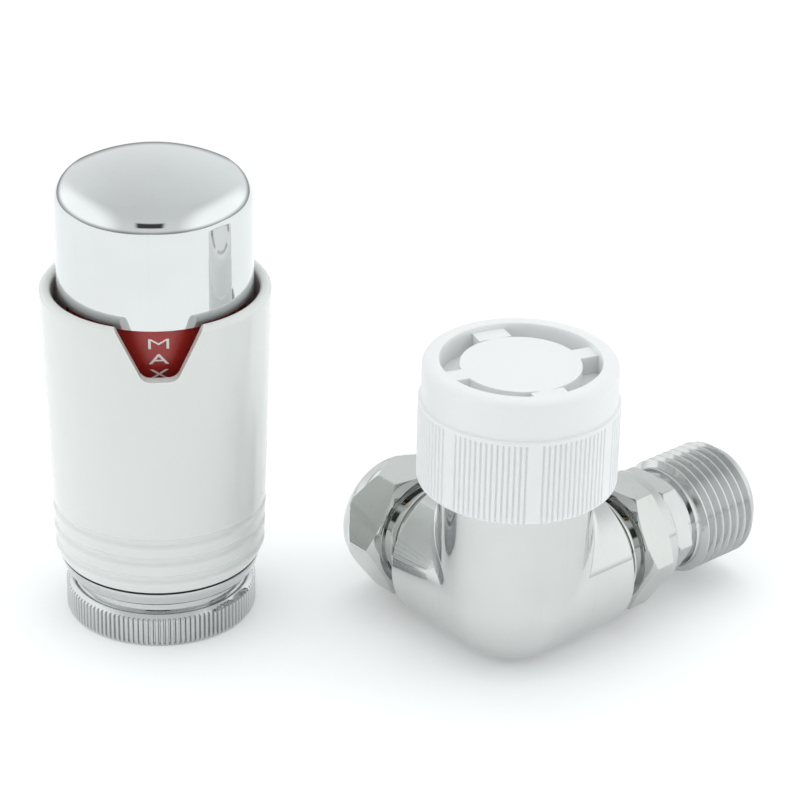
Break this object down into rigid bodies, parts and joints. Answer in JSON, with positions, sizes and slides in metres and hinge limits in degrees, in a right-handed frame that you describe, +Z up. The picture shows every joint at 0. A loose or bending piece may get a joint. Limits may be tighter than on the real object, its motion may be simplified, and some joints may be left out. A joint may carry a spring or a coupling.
{
  "type": "thermostatic radiator valve",
  "caption": "Corner radiator valve with a capped pin, pipe and radiator unions, and its separate thermostatic head with a turning sleeve and a scale window.",
  "frame": {"origin": "on the surface the two units stand on, under the middle of their common box", "axes": "+X along the radiator tail, +Y along the pipe arm, +Z up along the valve's pin and the head's axis"},
  "size_m": [0.1058, 0.0872, 0.0843],
  "materials": {
    "chrome": "bright polished chrome plating on brass",
    "chrome_dome": "bright chrome plating on a moulded cap",
    "gloss_white": "glossy white ABS",
    "satin_white": "satin white polypropylene",
    "scale_red": "glossy red moulded scale barrel with white lettering",
    "brass": "machined brass",
    "stainless": "stainless steel, ground or drawn",
    "seal_rubber": "black EPDM rubber",
    "grey_moulding": "grey glass-filled moulding"
  },
  "bodies": {
    "valve": {"valve_body": "chrome", "insert_housing": "brass", "insert_o_ring": "seal_rubber", "spring_retainer": "brass", "gland_nut": "brass", "gland_o_ring": "seal_rubber", "return_spring": "stainless"},
    "pin": {"valve_pin": "stainless", "pin_clip": "stainless", "valve_plate": "brass", "seat_washer": "seal_rubber"},
    "cap_pad": {"cap_thrust_pad": "brass"},
    "cap": {"protective_cap": "satin_white"},
    "tail": {"tailpiece": "chrome", "tail_o_ring": "seal_rubber", "tail_snap_ring": "stainless"},
    "union": {"union_screw": "chrome"},
    "clamp": {"olive": "brass"},
    "pipe_screw": {"compression_screw": "chrome"},
    "head": {"head_frame": "grey_moulding", "base_ring": "chrome", "scale_barrel": "scale_red", "cup_return_spring": "stainless"},
    "collar": {"collar_nut": "chrome", "collar_snap_ring": "stainless"},
    "handwheel": {"sleeve": "gloss_white", "sleeve_clip": "stainless", "drive_ring": "grey_moulding", "dome_cap": "chrome_dome"},
    "sensor": {"sensor_carrier": "grey_moulding", "sensor_capsule": "stainless"},
    "piston": {"sensor_piston": "stainless", "transfer_cup": "brass", "overtravel_spring": "stainless", "push_rod": "grey_moulding"}
  },
  "joints": [
    {"name": "pin_slide", "type": "slide", "parent": "valve", "child": "pin", "axis": [0, 0, 1], "range_m": [-0.0025, 0], "stiffness_N_per_m": 4000, "springref_m": 0.001, "deforming": ["return_spring"]},
    {"name": "cap_rise", "type": "slide", "parent": "valve", "child": "cap_pad", "axis": [0, 0, 1], "range_m": [0, 0.00751]},
    {"name": "cap_turn", "type": "hinge", "parent": "cap_pad", "child": "cap", "pos_m": [0.00305, -0.0268, 0.045], "axis": [0, 0, 1], "range_deg": [0, 1800]},
    {"name": "tail_slide", "type": "slide", "parent": "valve", "child": "tail", "axis": [1, 0, 0], "range_m": [0, 0.00454]},
    {"name": "union_turn", "type": "hinge", "parent": "tail", "child": "union", "pos_m": [0.02705, -0.0268, 0.0131], "axis": [1, 0, 0], "range_deg": [0, 900]},
    {"name": "olive_slide", "type": "slide", "parent": "valve", "child": "clamp", "axis": [0, 1, 0], "range_m": [0, 0.00318]},
    {"name": "pipe_screw_turn", "type": "hinge", "parent": "clamp", "child": "pipe_screw", "pos_m": [0.00305, -0.0018, 0.0131], "axis": [0, 1, 0], "range_deg": [0, 630]},
    {"name": "head_lift", "type": "slide", "parent": "valve", "child": "head", "axis": [0, 0, 1], "range_m": [0, 0.06]},
    {"name": "collar_turn", "type": "hinge", "parent": "head", "child": "collar", "pos_m": [-0.03345, 0.0241, 0.003], "axis": [0, 0, 1], "continuous": true},
    {"name": "sleeve_turn", "type": "hinge", "parent": "head", "child": "handwheel", "pos_m": [-0.03345, 0.0241, 0.035], "axis": [0, 0, 1], "range_deg": [-290, 0]},
    {"name": "sensor_slide", "type": "slide", "parent": "head", "child": "sensor", "axis": [0, 0, 1], "range_m": [-0.00481, 0], "deforming": ["cup_return_spring"]},
    {"name": "piston_slide", "type": "slide", "parent": "sensor", "child": "piston", "axis": [0, 0, 1], "range_m": [-0.003, 0], "stiffness_N_per_m": 3000, "springref_m": 0.001}
  ],
  "couplings": [
    {"joint": "cap_rise", "follows": "cap_turn", "m_per_rad": 0.00023873},
    {"joint": "tail_slide", "follows": "union_turn", "m_per_rad": 0.00028871},
    {"joint": "olive_slide", "follows": "pipe_screw_turn", "m_per_rad": 0.00028871},
    {"joint": "sensor_slide", "follows": "sleeve_turn", "m_per_rad": 0.00094834}
  ]
}
